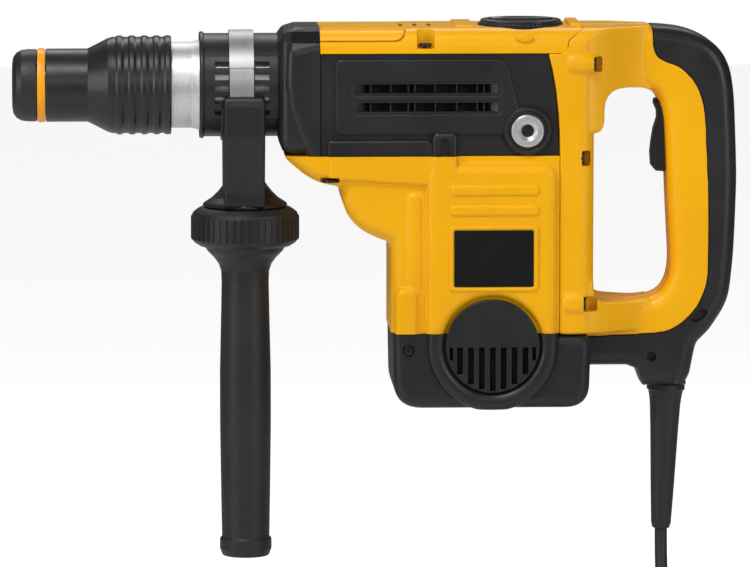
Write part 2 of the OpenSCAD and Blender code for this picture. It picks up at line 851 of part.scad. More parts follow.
nose_cap();
marker_ring();
tool_holder();
cylinder_tube();
bevel_gear();
locking_bars();
locking_sleeve();
sleeve_spring();
beat_piece();
striker();
piston();
piston_seal();
wrist_pin();
connecting_rod();
crank_gear();
intermediate_shaft();
barrel_tube();
shaft_seal();
spindle_bearing();
front_collar();
front_housing();
gear_case();
top_cover();
left_side_cover();
right_side_cover();
motor_housing();
end_cap();
left_vent_grille();
right_vent_grille();
handle_left_shell();
handle_right_shell();
handle_grip();
label_plate();
left_handle_bush();
right_handle_bush();
top_screw();
handle_screws();
end_cap_screws();
switch_module();
trigger_pin();
trigger();
stator();
motor_bearings();
armature_shaft();
armature_core();
commutator();
cooling_fan();
selector_dial();
clutch_sleeve();
bracket();
clamp_band();
clamp_bolt();
knurled_knob();
side_grip();
cord_guard();
cord();
cord_coil();
cord_tie();
cord_plug();
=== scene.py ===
"""Looks of the demolition hammer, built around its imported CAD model."""

import json
import math

import bmesh
import bpy
from mathutils import Matrix, Vector, geometry


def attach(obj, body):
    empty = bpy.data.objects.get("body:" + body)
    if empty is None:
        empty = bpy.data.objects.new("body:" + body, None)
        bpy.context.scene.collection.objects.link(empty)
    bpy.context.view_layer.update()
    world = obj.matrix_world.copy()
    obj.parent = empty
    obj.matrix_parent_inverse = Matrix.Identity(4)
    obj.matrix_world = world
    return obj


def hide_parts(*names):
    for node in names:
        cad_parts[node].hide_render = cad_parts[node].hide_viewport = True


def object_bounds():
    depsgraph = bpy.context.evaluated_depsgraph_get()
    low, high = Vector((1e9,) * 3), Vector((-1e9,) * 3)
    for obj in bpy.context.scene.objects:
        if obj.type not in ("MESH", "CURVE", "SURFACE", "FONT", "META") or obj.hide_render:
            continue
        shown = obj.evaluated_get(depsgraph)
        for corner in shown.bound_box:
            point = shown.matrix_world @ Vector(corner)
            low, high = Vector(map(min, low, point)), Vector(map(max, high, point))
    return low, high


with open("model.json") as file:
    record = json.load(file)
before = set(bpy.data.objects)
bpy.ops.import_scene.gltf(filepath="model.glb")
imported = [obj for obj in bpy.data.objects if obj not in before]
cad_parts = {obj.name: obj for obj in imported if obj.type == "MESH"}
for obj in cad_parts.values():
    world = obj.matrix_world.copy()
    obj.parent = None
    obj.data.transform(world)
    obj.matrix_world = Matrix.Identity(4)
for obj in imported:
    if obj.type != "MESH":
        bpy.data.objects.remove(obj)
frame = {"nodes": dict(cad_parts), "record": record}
cad_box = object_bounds()

MM = 0.001

# Main sizes and places in millimetres.
TOP_Z = 37.4
COVER_X = 183.2
SEAM_Z = -41.6
SHELL_X = 331.9
MOTOR_X = 290.3
VENT_Z = -160.2
CAP_SEAM_Z = -152.7
CAP_SCREW_X = 237.9
CAP_SCREW_Z = -163.0
HANDLE_HALF = 21.0
SIDE_X = 137.2
DIAL_X = 310.0
BUSH_X = 311.9
BUSH_Z = -26.0
GUARD_X = 402.4
CORD_X = 399.7
CORD_D = 7.9
CORD_TOP = -281.0
COIL_Z = -400.0
COIL_R = 47.0
COIL_TURNS = 9
COIL_PITCH = 8.2
TAIL = 84.0
SIDES = (("left", -1), ("right", 1))


# ---------------------------------------------------------------- materials


def node_material(name, colour, rough, metallic=0.0, specular=0.4):
    """A Principled material, with its node tree, shader and output."""
    mat = bpy.data.materials.new(name)
    mat.use_nodes = True
    tree = mat.node_tree
    shader = tree.nodes["Principled BSDF"]
    shader.inputs["Base Color"].default_value = (*colour, 1)
    shader.inputs["Roughness"].default_value = rough
    shader.inputs["Metallic"].default_value = metallic
    shader.inputs["Specular IOR Level"].default_value = specular
    return mat, tree, shader


def noise(tree, scale, detail=3.0, stretch=(1, 1, 1)):
    """Noise in object space, stretched along the axes."""
    coord = tree.nodes.new("ShaderNodeTexCoord")
    mapping = tree.nodes.new("ShaderNodeMapping")
    mapping.inputs["Scale"].default_value = stretch
    tex = tree.nodes.new("ShaderNodeTexNoise")
    tex.inputs["Scale"].default_value = scale
    tex.inputs["Detail"].default_value = detail
    tree.links.new(coord.outputs["Object"], mapping.inputs["Vector"])
    tree.links.new(mapping.outputs["Vector"], tex.inputs["Vector"])
    return tex.outputs["Fac"]


def ramp(tree, fac, stops):
    """Colour ramp with [position, colour] stops."""
    node = tree.nodes.new("ShaderNodeValToRGB")
    while len(node.color_ramp.elements) < len(stops):
        node.color_ramp.elements.new(0.5)
    for element, (pos, colour) in zip(node.color_ramp.elements, stops):
        element.position = pos
        element.color = (*colour, 1)
    tree.links.new(fac, node.inputs["Fac"])
    return node.outputs["Color"]


def span(tree, fac, low, high):
    """Maps a 0..1 value to low..high."""
    node = tree.nodes.new("ShaderNodeMapRange")
    node.inputs["From Min"].default_value = 0.3
    node.inputs["From Max"].default_value = 0.7
    node.inputs["To Min"].default_value = low
    node.inputs["To Max"].default_value = high
    tree.links.new(fac, node.inputs["Value"])
    return node.outputs["Result"]


def bump(tree, shader, height, strength, distance):
    """Bump from a height value."""
    node = tree.nodes.new("ShaderNodeBump")
    node.inputs["Strength"].default_value = strength
    node.inputs["Distance"].default_value = distance
    tree.links.new(height, node.inputs["Height"])
    tree.links.new(node.outputs["Normal"], shader.inputs["Normal"])


def plastic(name, dark, light, rough, grain, strength, specular=0.4):
    """Moulded plastic: spark-eroded grain, faint mottling, uneven gloss."""
    mat, tree, shader = node_material(name, light, rough, specular=specular)
    patch = noise(tree, 14, 4)
    tree.links.new(ramp(tree, patch, [(0.35, dark), (0.65, light)]), shader.inputs["Base Color"])
    tree.links.new(span(tree, noise(tree, 60, 3), rough - 0.05, rough + 0.06), shader.inputs["Roughness"])
    bump(tree, shader, noise(tree, grain, 2), strength, 0.0002)
    return mat


def metal(name, dark, light, rough, stretch=(1, 1, 1), scale=300, strength=0.12):
    """Turned or brushed metal, its streaks stretched across the tool marks."""
    mat, tree, shader = node_material(name, light, rough, metallic=1.0)
    lines = noise(tree, scale, 4, stretch)
    tree.links.new(ramp(tree, lines, [(0.3, dark), (0.7, light)]), shader.inputs["Base Color"])
    tree.links.new(span(tree, lines, rough - 0.07, rough + 0.1), shader.inputs["Roughness"])
    bump(tree, shader, lines, strength, 0.0001)
    return mat


YELLOW = plastic("yellow_plastic", (0.84, 0.395, 0.0), (0.89, 0.435, 0.0), 0.36, 1600, 0.1, 0.28)
BLACK = plastic("black_plastic", (0.010, 0.010, 0.0115), (0.015, 0.015, 0.0165), 0.38, 1500, 0.28)
RUBBER = plastic("black_rubber", (0.011, 0.011, 0.0125), (0.017, 0.017, 0.0185), 0.46, 1100, 0.32)
SLEEVE = plastic("sleeve_plastic", (0.010, 0.010, 0.0115), (0.015, 0.015, 0.0165), 0.34, 1300, 0.22)
CORD = plastic("cord_rubber", (0.014, 0.014, 0.015), (0.02, 0.02, 0.021), 0.5, 700, 0.2)
ORANGE = plastic("orange_plastic", (0.84, 0.32, 0.004), (0.89, 0.36, 0.006), 0.38, 1400, 0.12)
LABEL = plastic("label_film", (0.003, 0.003, 0.0035), (0.005, 0.005, 0.0055), 0.42, 900, 0.03, 0.22)
STEEL = metal("brushed_steel", (0.39, 0.39, 0.4), (0.45, 0.45, 0.46), 0.44, (30, 1, 1), 60, 0.015)
NICKEL = metal("bright_nickel", (0.74, 0.74, 0.75), (0.84, 0.84, 0.85), 0.36, scale=900, strength=0.05)
CAST = metal("barrel_cast", (0.62, 0.62, 0.63), (0.74, 0.74, 0.75), 0.46, scale=700, strength=0.1)
# Near-black matte sheets put in the slots and behind the vent: painted shade standing for the openings'
# dark insides.
SHADE_BLACK = plastic("vent_shadow", (0.002, 0.002, 0.002), (0.003, 0.003, 0.003), 0.8, 900, 0.05)
WHITE = plastic("white_mark", (0.75, 0.75, 0.75), (0.85, 0.85, 0.85), 0.4, 900, 0.05)
HARD = metal("hard_steel", (0.45, 0.46, 0.47), (0.6, 0.61, 0.62), 0.3)
GEAR = metal("gear_steel", (0.25, 0.25, 0.26), (0.4, 0.4, 0.41), 0.36)
SCREW = metal("screw_steel", (0.03, 0.03, 0.032), (0.06, 0.06, 0.063), 0.38)
ALLOY = metal("case_alloy", (0.5, 0.5, 0.51), (0.62, 0.62, 0.63), 0.48, scale=900, strength=0.3)
COPPER = metal("copper", (0.5, 0.24, 0.12), (0.72, 0.4, 0.2), 0.32, (1, 1, 40), 80)
IRON = metal("lamination", (0.14, 0.14, 0.145), (0.24, 0.24, 0.25), 0.5, (1, 1, 60), 60)
BY_SLOT = {
    "black_plastic": BLACK,
    "yellow_plastic": YELLOW,
    "black_rubber": RUBBER,
    "cord_rubber": CORD,
    "tie_plastic": RUBBER,
    "sleeve_plastic": SLEEVE,
    "orange_plastic": ORANGE,
    "brushed_steel": STEEL,
    "hard_steel": HARD,
    "gear_steel": GEAR,
    "screw_steel": SCREW,
    "case_alloy": ALLOY,
    "copper": COPPER,
    "lamination": IRON,
    "label_film": LABEL,
}


# ---------------------------------------------------------------- mesh tools


def finish_mesh(bm, name, material, sharp=32):
    """Turns a bmesh in millimetres into a smooth-shaded object in metres."""
    bmesh.ops.remove_doubles(bm, verts=bm.verts, dist=0.001)
    bmesh.ops.recalc_face_normals(bm, faces=bm.faces)
    bmesh.ops.scale(bm, verts=bm.verts, vec=(MM, MM, MM))
    mesh = bpy.data.meshes.new(name)
    bm.to_mesh(mesh)
    bm.free()
    mesh.shade_smooth()
    mesh.set_sharp_from_angle(angle=math.radians(sharp))
    mesh.materials.append(material)
    obj = bpy.data.objects.new(name, mesh)
    bpy.context.scene.collection.objects.link(obj)
    weighted = obj.modifiers.new("normals", "WEIGHTED_NORMAL")
    weighted.keep_sharp = True
    return obj


def area2(loop):
    """Twice the signed area of a 2D loop."""
    return sum(a[0] * b[1] - b[0] * a[1] for a, b in zip(loop, loop[1:] + loop[:1]))


def fillet(points, radius, steps=6):
    """Rounds each corner of a loop; a point may carry its own radius as a third value."""
    out = []
    count = len(points)
    for i, point in enumerate(points):
        r = point[2] if len(point) > 2 else radius
        here = Vector(point[:2])
        to_prev = Vector(points[i - 1][:2]) - here
        to_next = Vector(points[(i + 1) % count][:2]) - here
        angle = to_prev.angle(to_next)
        turn = math.pi - angle
        if r <= 0 or turn < 0.05:
            out.append(tuple(here))
            continue
        cut = min(r / math.tan(angle / 2), 0.48 * to_prev.length, 0.48 * to_next.length)
        start = here + to_prev.normalized() * cut
        end = here + to_next.normalized() * cut
        for k in range(steps + 1):
            t = k / steps
            out.append(tuple((1 - t) ** 2 * start + 2 * t * (1 - t) * here + t * t * end))
    return out


def crossing(a, da, b, db):
    """Where the line through a along da meets the line through b along db."""
    cross = da.x * db.y - da.y * db.x
    if abs(cross) < 1e-6:
        return (a + b) / 2
    t = ((b - a).x * db.y - (b - a).y * db.x) / cross
    return a + da * t


def inset(loop, distance):
    """Moves a counter-clockwise loop inward; arcs that fold over collapse to a corner."""
    count = len(loop)
    points = [Vector(p) for p in loop]
    steps = [(points[(i + 1) % count] - points[i]).normalized() for i in range(count)]
    normals = [Vector((-d.y, d.x)) for d in steps]
    out = []
    for i in range(count):
        mid = normals[i - 1] + normals[i]
        out.append(points[i] + mid / max(mid.dot(normals[i]), 0.35) * distance)
    for _ in range(4):
        folded = [(out[(i + 1) % count] - out[i]).dot(steps[i]) < -1e-6 for i in range(count)]
        if not any(folded) or all(folded):
            break
        first = folded.index(False)
        order = [(first + k) % count for k in range(count)]
        run = []
        for i in order[1:] + order[:1]:
            if folded[i]:
                run.append(i)
                continue
            if run:
                before, after = (run[0] - 1) % count, i
                corner = crossing(points[before] + normals[before] * distance, steps[before],
                                  points[after] + normals[after] * distance, steps[after])
                for k in run + [i]:
                    out[k] = corner
            run = []
    return [tuple(p) for p in out]


def rings(edge, depth, steps=6):
    """(inset, depth from the face) pairs of a rounded edge."""
    out = []
    for k in range(steps + 1):
        a = math.pi / 2 * k / steps
        out.append((edge * (1 - math.sin(a)), edge * (1 - math.cos(a))))
    return [(i, min(d, depth)) for i, d in out]


def plate(name, material, outline, low, high, edge=1.0, holes=(), back=0.0, axis="Y", steps=5):
    """A slab between two levels of an axis, with rounded edges on its high and low faces."""
    loops = [list(outline)] + [list(h) for h in holes]
    for n, loop in enumerate(loops):
        if (area2(loop) > 0) != (n == 0):
            loop.reverse()
    levels = [(i, high - d) for i, d in rings(edge, high - low, steps)]
    levels += [(i, low + d) for i, d in reversed(rings(back, high - low, steps))] if back else [(0, low)]
    bm = bmesh.new()
    made = []
    for loop in loops:
        rows = []
        for shrink, level in levels:
            row = []
            for u, v in inset(loop, shrink) if shrink > 0 else loop:
                place = {"Y": (u, level, v), "Z": (u, v, level), "X": (level, u, v)}[axis]
                row.append(bm.verts.new(place))
            rows.append(row)
        for a, b in zip(rows, rows[1:]):
            for i in range(len(a)):
                j = (i + 1) % len(a)
                bm.faces.new((a[i], a[j], b[j], b[i]))
        made.append(rows)
    for end in (0, -1):
        verts = [v for rows in made for v in rows[end]]
        flat = []
        for n, loop in enumerate(loops):
            shrunk = inset(loop, levels[end][0]) if levels[end][0] > 0 else loop
            flat.append([Vector((u, v, 0)) for u, v in shrunk])
        for tri in geometry.tessellate_polygon(flat):
            corners = [verts[i] for i in tri]
            if len(set(corners)) == 3 and not bm.faces.get(corners):
                bm.faces.new(corners)
    return finish_mesh(bm, name, material)


def cutter(loop, low, high, axis="Y"):
    """Straight-sided block for a boolean."""
    return plate("cutter", BLACK, loop, low, high, 0, axis=axis)


def lathe(name, material, profile, centre=(0, 0, 0), axis="X", segments=96, sharp=32):
    """Turned piece from [position along the axis, radius] points, closed on itself."""
    bm = bmesh.new()
    rows = []
    for along, radius in profile:
        row = []
        for k in range(segments):
            a = 2 * math.pi * k / segments
            c, s = radius * math.cos(a), radius * math.sin(a)
            place = {"X": (along, c, s), "Y": (c, along, s), "Z": (c, s, along)}[axis]
            row.append(bm.verts.new([p + q for p, q in zip(place, centre)]))
        rows.append(row)
    for a, b in zip(rows, rows[1:] + rows[:1]):
        for i in range(segments):
            j = (i + 1) % segments
            bm.faces.new((a[i], a[j], b[j], b[i]))
    bmesh.ops.remove_doubles(bm, verts=bm.verts, dist=0.002)
    bmesh.ops.dissolve_degenerate(bm, edges=bm.edges, dist=0.002)
    return finish_mesh(bm, name, material, sharp)


def soften(profile, radius=0.8, steps=4):
    """Rounds the corners of a lathe profile."""
    return fillet(profile, radius, steps)


def rect(x0, z0, x1, z1, r=0.0):
    """Rectangle loop with rounded corners."""
    return fillet([(x0, z0), (x1, z0), (x1, z1), (x0, z1)], r)


def disc(x, z, r, count=64):
    """Circle loop."""
    return [(x + r * math.cos(2 * math.pi * k / count), z + r * math.sin(2 * math.pi * k / count))
            for k in range(count)]


def ellipse(x, z, a, b, count):
    """Ellipse loop with half-axes a and b."""
    return [(x + a * u, z + b * v) for u, v in disc(0, 0, 1, count)]


def smooth_run(points, steps=4, closed=False):
    """Catmull-Rom curve through a run of points."""
    out = []
    count = len(points)
    for i in range(count if closed else count - 1):
        if closed:
            p0, p1, p2, p3 = (Vector(points[(i + k) % count]) for k in (-1, 0, 1, 2))
        else:
            p0, p1, p2, p3 = (Vector(points[min(max(i + k, 0), count - 1)]) for k in (-1, 0, 1, 2))
        for k in range(steps):
            t = k / steps
            out.append(tuple(0.5 * (2 * p1 + (p2 - p0) * t + (2 * p0 - 5 * p1 + 4 * p2 - p3) * t * t
                                    + (3 * p1 - p0 - 3 * p2 + p3) * t ** 3)))
    return out if closed else out + [tuple(points[-1])]


def turned(obj, degrees, axis):
    """Turns a mesh about a world axis."""
    obj.data.transform(Matrix.Rotation(math.radians(degrees), 4, axis))
    return obj


def placed(obj, place, degrees):
    """Turns a mesh about Y and moves it to a place in millimetres."""
    shift = Matrix.Translation(Vector(place) * MM)
    obj.data.transform(shift @ Matrix.Rotation(math.radians(degrees), 4, "Y"))
    return obj


def flipped(obj):
    """Mirrors a mesh across the centre plane."""
    obj.data.transform(Matrix.Scale(-1, 4, (0, 1, 0)))
    obj.data.flip_normals()
    return obj


def to_side(obj, side):
    """A mesh built for the right-hand side (+Y), mirrored when it is for the left."""
    return obj if side > 0 else flipped(obj)


def sided(loop, side):
    """A loop in X and Y on one side of the centre plane."""
    return [(x, y * side) for x, y in loop]


def apply_modifiers(obj):
    """Keeps the evaluated mesh and drops the modifiers."""
    graph = bpy.context.evaluated_depsgraph_get()
    mesh = bpy.data.meshes.new_from_object(obj.evaluated_get(graph))
    obj.modifiers.clear()
    obj.data = mesh


def carve(obj, tools, operation="DIFFERENCE", sharp=32):
    """Boolean with each tool in turn; the tools are removed."""
    obj.modifiers.clear()
    for tool in tools:
        tool.modifiers.clear()
        mod = obj.modifiers.new("cut", "BOOLEAN")
        mod.operation = operation
        mod.solver = "MANIFOLD"
        mod.object = tool
    apply_modifiers(obj)
    for tool in tools:
        bpy.data.objects.remove(tool)
    obj.data.shade_smooth()
    obj.data.set_sharp_from_angle(angle=math.radians(sharp))
    weighted = obj.modifiers.new("normals", "WEIGHTED_NORMAL")
    weighted.keep_sharp = True
    return obj


def fused(name, material, pieces, voxel=0.8, passes=5):
    """One moulding out of overlapping solids, its corners blended."""
    bm = bmesh.new()
    for piece in pieces:
        bm.from_mesh(piece.data)
        bpy.data.objects.remove(piece)
    mesh = bpy.data.meshes.new(name)
    bm.to_mesh(mesh)
    bm.free()
    mesh.materials.append(material)
    obj = bpy.data.objects.new(name, mesh)
    bpy.context.scene.collection.objects.link(obj)
    skin = obj.modifiers.new("skin", "REMESH")
    skin.mode = "VOXEL"
    skin.voxel_size = voxel * MM
    blend = obj.modifiers.new("blend", "SMOOTH")
    blend.iterations = passes
    apply_modifiers(obj)
    obj.data.shade_smooth()
    return obj


def put(obj, body, nodes=()):
    """Rides a piece on a body and what it replaces."""
    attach(obj, body)
    if nodes:
        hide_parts(*nodes)
    return obj


def on_side(side, obj, nodes=()):
    """Puts a piece built for the right-hand side (+Y) on either side of the body."""
    return put(to_side(obj, side), "body", nodes)


for part in frame["record"]["subparts"]:
    node = frame["nodes"][part["node"]]
    for holder in node.material_slots:
        holder.material = BY_SLOT[part["material_slot"]]

# ---------------------------------------------------------------- camera and light


def aim(obj, target):
    """Points an object's -Z at a target."""
    obj.rotation_euler = (Vector(target) - obj.location).to_track_quat("-Z", "Y").to_euler()


TARGET = (0.2188, 0.0, -0.1257)
AZIMUTH = math.radians(-2.4)
ELEVATION = math.radians(6.5)
DISTANCE = 4.0
cam_data = bpy.data.cameras.new("camera")
cam_data.sensor_width = 36
cam_data.lens = 305.5
camera = bpy.data.objects.new("camera", cam_data)
bpy.context.scene.collection.objects.link(camera)
back = Vector((math.sin(AZIMUTH) * math.cos(ELEVATION), -math.cos(AZIMUTH) * math.cos(ELEVATION),
               math.sin(ELEVATION)))
camera.location = Vector(TARGET) + back * DISTANCE
aim(camera, TARGET)
bpy.context.scene.camera = camera
bpy.context.scene.view_settings.view_transform = "Standard"


def area_light(name, place, size, power, target=TARGET):
    """Soft rectangular lamp."""
    data = bpy.data.lights.new(name, "AREA")
    data.shape = "RECTANGLE"
    data.size, data.size_y = size
    data.energy = power
    lamp = bpy.data.objects.new(name, data)
    bpy.context.scene.collection.objects.link(lamp)
    lamp.location = place
    aim(lamp, target)
    return lamp


area_light("key", (-0.35, -1.0, 1.7), (0.9, 0.5), 26)
area_light("fill", (1.5, -1.2, 0.35), (0.25, 1.2), 9)
area_light("front", (-1.3, -0.9, 0.3), (0.22, 1.1), 9)
area_light("strip", (0.1, -2.1, 0.66), (1.3, 0.14), 5)
area_light("rim", (0.3, 1.2, 1.2), (1.6, 0.6), 10)
world = bpy.data.worlds.new("world")
world.use_nodes = True
sky = world.node_tree
backdrop = sky.nodes["Background"]
backdrop.inputs["Color"].default_value = (1, 1, 1, 1)
ray = sky.nodes.new("ShaderNodeLightPath")
level = sky.nodes.new("ShaderNodeMapRange")
level.inputs["To Min"].default_value = 0.1
level.inputs["To Max"].default_value = 1.0
sky.links.new(ray.outputs["Is Camera Ray"], level.inputs["Value"])
sky.links.new(level.outputs["Result"], backdrop.inputs["Strength"])
bpy.context.scene.world = world

floor_mat, floor_tree, floor_shader = node_material("floor", (0.9, 0.9, 0.9), 0.7)
floor_shader.inputs["Emission Color"].default_value = (1, 1, 1, 1)
floor_ray = floor_tree.nodes.new("ShaderNodeLightPath")
floor_level = floor_tree.nodes.new("ShaderNodeMapRange")
floor_level.inputs["To Max"].default_value = 0.82
floor_tree.links.new(floor_ray.outputs["Is Camera Ray"], floor_level.inputs["Value"])
floor_tree.links.new(floor_level.outputs["Result"], floor_shader.inputs["Emission Strength"])
bpy.ops.mesh.primitive_plane_add(size=14, location=(0.2, 0, cad_box[0][2] - 0.004))
floor = bpy.context.object
floor.name = "floor"
floor.data.materials.append(floor_mat)

# ---------------------------------------------------------------- nose and chuck

nose_line = [(-8, 11.5), (-8, 14), (-7.4, 17.5), (-5.4, 20.4), (-2.2, 22.1), (2, 22.6), (7.5, 22.6),
             (7.5, 16), (0, 16), (0, 11.5)]
put(lathe("nose_cap_boot", RUBBER, soften(nose_line, 1.2)), "spindle", ["nose_cap"])
marker_line = [(7.7, 16), (7.7, 22.9), (10.1, 23.2), (12.6, 22.9), (12.6, 16)]
put(lathe("marker_band", ORANGE, soften(marker_line, 0.4)), "spindle", ["marker_ring"])

sleeve_line = [(12.9, 20), (12.9, 22.9), (39.0, 22.9), (41, 23.9), (51.6, 29.3), (54.6, 30.2)]
for x in (58.9, 66.7, 74.5, 82.0):
    sleeve_line += [(x - 2.6, 30.1), (x - 1.1, 31), (x + 1.1, 31), (x + 2.6, 30.1)]
sleeve_line += [(86.2, 30.1), (88, 31), (90.4, 31), (91.2, 30.2), (91.2, 27.6), (54, 27.6), (40, 21),
                (38, 20)]
locking_sleeve = lathe("locking_sleeve_shell", SLEEVE, soften(sleeve_line, 1.1))
put(locking_sleeve, "sleeve", ["locking_sleeve"])

barrel_line = [(88, 24), (88, 26.9), (103.5, 26.9), (106.6, 27.6), (108.4, 28.2), (176, 28.2), (176, 22),
               (104, 22), (104, 17), (102, 17), (102, 24)]
put(lathe("barrel_casting", CAST, soften(barrel_line, 0.9)), "body", ["barrel_tube"])

# ---------------------------------------------------------------- front collar and side handle

# Darker steel sleeve under the collar slots: painted shade on the slot floors.
slot_shade_liner = lathe("collar_liner", GEAR, [(113, 28.22), (113, 28.36), (156, 28.36), (156, 28.22)])
put(slot_shade_liner, "body")

collar_line = [(108.6, 28.4), (108.6, 32.6), (109.3, 33.4), (111, 33.4), (111.6, 32.3), (157.6, 32.3),
               (157.6, 28.4)]
collar = lathe("front_collar_shell", BLACK, soften(collar_line, 0.4))
slots = []
for turn in (0, 180):
    for degrees in (-27.2, -13.6, 0, 13.6, 27.2):
        for x0, x1 in ((118, 126.8), (142.8, 152)):
            slot = cutter(rect(x0, -2.2, x1, 2.2, 0.8), 25, 38)
            slots.append(turned(slot, degrees + turn, "X"))
    for degrees in (38, -38):
        seam = cutter(rect(111.6, -0.2, 159, 0.2), 31.8, 38)
        slots.append(turned(seam, degrees + turn, "X"))
put(carve(collar, slots), "body", ["front_collar"])

band_line = [(127.3, 32.36), (127.3, 34), (142.3, 34), (142.3, 32.36)]
band = lathe("clamp_band_strip", STEEL, soften(band_line, 0.25), segments=160)
band = carve(band, [cutter(rect(120, -60, 150, -8), -60, 60)])
put(band, "side_handle", ["clamp_band"])
lap_line = [(127.1, 33.6), (127.1, 34.5), (142.5, 34.5), (142.5, 33.6)]
lap = lathe("clamp_band_lap", STEEL, soften(lap_line, 0.2), segments=160)
lap = carve(lap, [cutter(rect(120, -60, 150, 13), -60, 60)])
put(lap, "side_handle")

bracket_line = [(-35.5, -4.8), (35.5, -4.8), (37.6, -11), (36, -30), (32, -44), (28, -58), (26.2, -66),
                (26, -76.6), (-26, -76.6), (-26.2, -66), (-28, -58), (-32, -44), (-36, -30), (-37.6, -11)]
column = plate("bracket_column", BLACK, fillet(bracket_line, 5), 123.5, 149.2, 2.2, back=2.2, axis="X")
saddle = lathe("saddle_cutter", BLACK, [(100, 0.1), (100, 32.4), (170, 32.4), (170, 0.1)])
put(carve(column, [saddle]), "side_handle", ["bracket"])
foot_line = [(-76.6, 0.1), (-76.6, 26.4), (-74.4, 26.4), (-73.2, 24.8), (-70.5, 20.6), (-67, 17),
             (-63.5, 14.2), (-61, 12.6), (-61, 0.1)]
bracket_foot = lathe("bracket_foot", BLACK, soften(foot_line, 1.6), (SIDE_X, 0, 0), "Z", 12, 20)
put(bracket_foot, "side_handle")
ring_line = [(121.9, 32.5), (121.9, 34.8), (149.4, 34.8), (149.4, 32.5)]
saddle_ring = lathe("bracket_saddle_ring", BLACK, soften(ring_line, 0.8))
saddle_ring = carve(saddle_ring, [cutter(rect(100, -12, 170, 60), -60, 60)])
put(saddle_ring, "side_handle")

KNOB_FLUTES = 46
knob_line = []
for k in range(KNOB_FLUTES * 10):
    a = 2 * math.pi * k / (KNOB_FLUTES * 10)
    r = 34 - 3 * max(0.0, math.cos(KNOB_FLUTES * a)) ** 4
    knob_line.append((SIDE_X + r * math.cos(a), r * math.sin(a)))
knob_rim = plate("knob_fluted_rim", RUBBER, knob_line, -97.2, -81.6, 1.2, back=1.2, axis="Z")
put(knob_rim, "side_twist")
knob_core_line = [(-101, 0.1), (-101, 28.5), (-99, 31.6), (-97, 33.4), (-82, 33.4), (-80, 32.6),
                  (-78.4, 30.6), (-77, 28.5), (-77, 0.1)]
knob_core = lathe("knob_core", RUBBER, soften(knob_core_line, 0.9), (SIDE_X, 0, 0), "Z")
put(knob_core, "side_twist", ["knurled_knob"])
side_grip_line = [(-99.2, 0.1), (-99.2, 25.6), (-101.6, 25.4), (-104.6, 23.4), (-108.4, 19.6),
                  (-112.5, 16.6), (-117, 15.1), (-124, 14.8), (-140, 15.1), (-180, 16), (-215, 16),
                  (-260, 15.4), (-283.6, 15), (-285.4, 15), (-286.6, 16.3), (-293, 16.3), (-297.5, 14.6),
                  (-297.5, 0.1)]
side_grip = lathe("side_grip_sleeve", RUBBER, soften(side_grip_line, 1.5), (SIDE_X, 0, 0), "Z")
put(side_grip, "side_twist", ["side_grip"])

# ---------------------------------------------------------------- front housing

inner_section = [(-34, -90), (34, -90), (34, 22), (30, 28.5), (23, 33.6), (-23, 33.6), (-30, 28.5),
                 (-34, 22)]
outer_section = fillet([(-42, -80), (42, -80), (42, 22.5), (38.6, 28.6), (31, 35.4), (24, TOP_Z + 0.5),
                        (-24, TOP_Z + 0.5), (-31, 35.4), (-38.6, 28.6), (-42, 22.5)], 1.6, 4)


def front_piece(piece, inner_x, first_cuts=()):
    """Cuts a piece of the front housing to its joints, hollows it and chamfers it."""
    cuts = [
        *first_cuts,
        cutter(rect(COVER_X - 0.1, -90, 230, 90), -70, 70),
        cutter(rect(140, -90, 230, SEAM_Z - 0.1), -70, 70),
        cutter(inner_section, inner_x, 230, "X"),
    ]
    return carve(carve(piece, cuts), [cutter(outer_section, 120, 240, "X")], "INTERSECT")


front_line = fillet([(157.6, 30), (161, 34.6), (168.5, TOP_Z), (200, TOP_Z), (200, SEAM_Z), (166, SEAM_Z),
                     (160, -39), (157.6, -33)], 4)
front = plate("front_housing_core", BLACK, front_line, -38.5, 38.5, 8, back=8)
bore = lathe("bore_cutter", BLACK, [(150, 0.1), (150, 28.4), (175, 28.4), (175, 0.1)])
put(front_piece(front, 162, [bore]), "body", ["front_housing"])
flare_line = fillet([(160.4, 2), (161, 22), (166.5, TOP_Z - 0.4), (200, TOP_Z - 0.4), (200, -60),
                     (180, -60), (175.4, -45), (168.6, -30), (162.6, -14)], 7)
flare = plate("front_housing_rib", BLACK, flare_line, -41, 41, 8, back=8, steps=8)
put(front_piece(flare, 150), "body")

# ---------------------------------------------------------------- top cover

# Stepped rear end of the cover, where the handle shells meet it.
rear_notch = [(400, 60), (362, 50), (349.5, 39.4), (337.6, 30.4), (336.7, 27.4), (336.9, 25),
              (334.8, 22.6), (333.2, 21), (333.2, -20), (400, -20)]
cover_line = fillet([(-41, 0, 0), (41, 0, 0), (41, TOP_Z), (-41, TOP_Z)], 13, 10)
core_line = fillet([(-39.7, 0, 0), (39.7, 0, 0), (39.7, TOP_Z - 1.3), (-39.7, TOP_Z - 1.3)], 12, 10)
top = plate("top_cover_shell", YELLOW, cover_line, COVER_X, 352, 0.6, back=0.6, axis="X")
recess = cutter(rect(140, 29.8, 236, 60, 8), -60, 60)
recess = carve(recess, [cutter(core_line, 100, 260, "X"),
                        cutter(rect(100, 0, 260, 80), -26, 26)])
groove = plate("groove_cutter", YELLOW, rect(140, 29.3, 236.5, 70, 8), -60, 60, 0,
               [rect(139, 30.2, 235.6, 71, 7.4)])
deep_line = fillet([(-38.4, 0, 0), (38.4, 0, 0), (38.4, TOP_Z - 2.6), (-38.4, TOP_Z - 2.6)], 11.6, 10)
groove = carve(groove, [cutter(deep_line, 100, 260, "X"),
                        cutter(rect(100, 0, 260, 80), -28, 28)])
TOP_SLOTS = (234.4, 243.2, 252.2)
cutters = [
    cutter(rect(150, -40, 380, 22.2), -70, 70),
    cutter(rear_notch, -70, 70),
    recess,
    groove,
    cutter(ellipse(DIAL_X, 0, 27.2, 34.2, 96), 34.3, 60, "Z"),
]
for side in (-1, 1):
    cutters.append(cutter(sided(rect(243.2, 33, 254, 70, 2.5), side), 25.2, 60, "Z"))
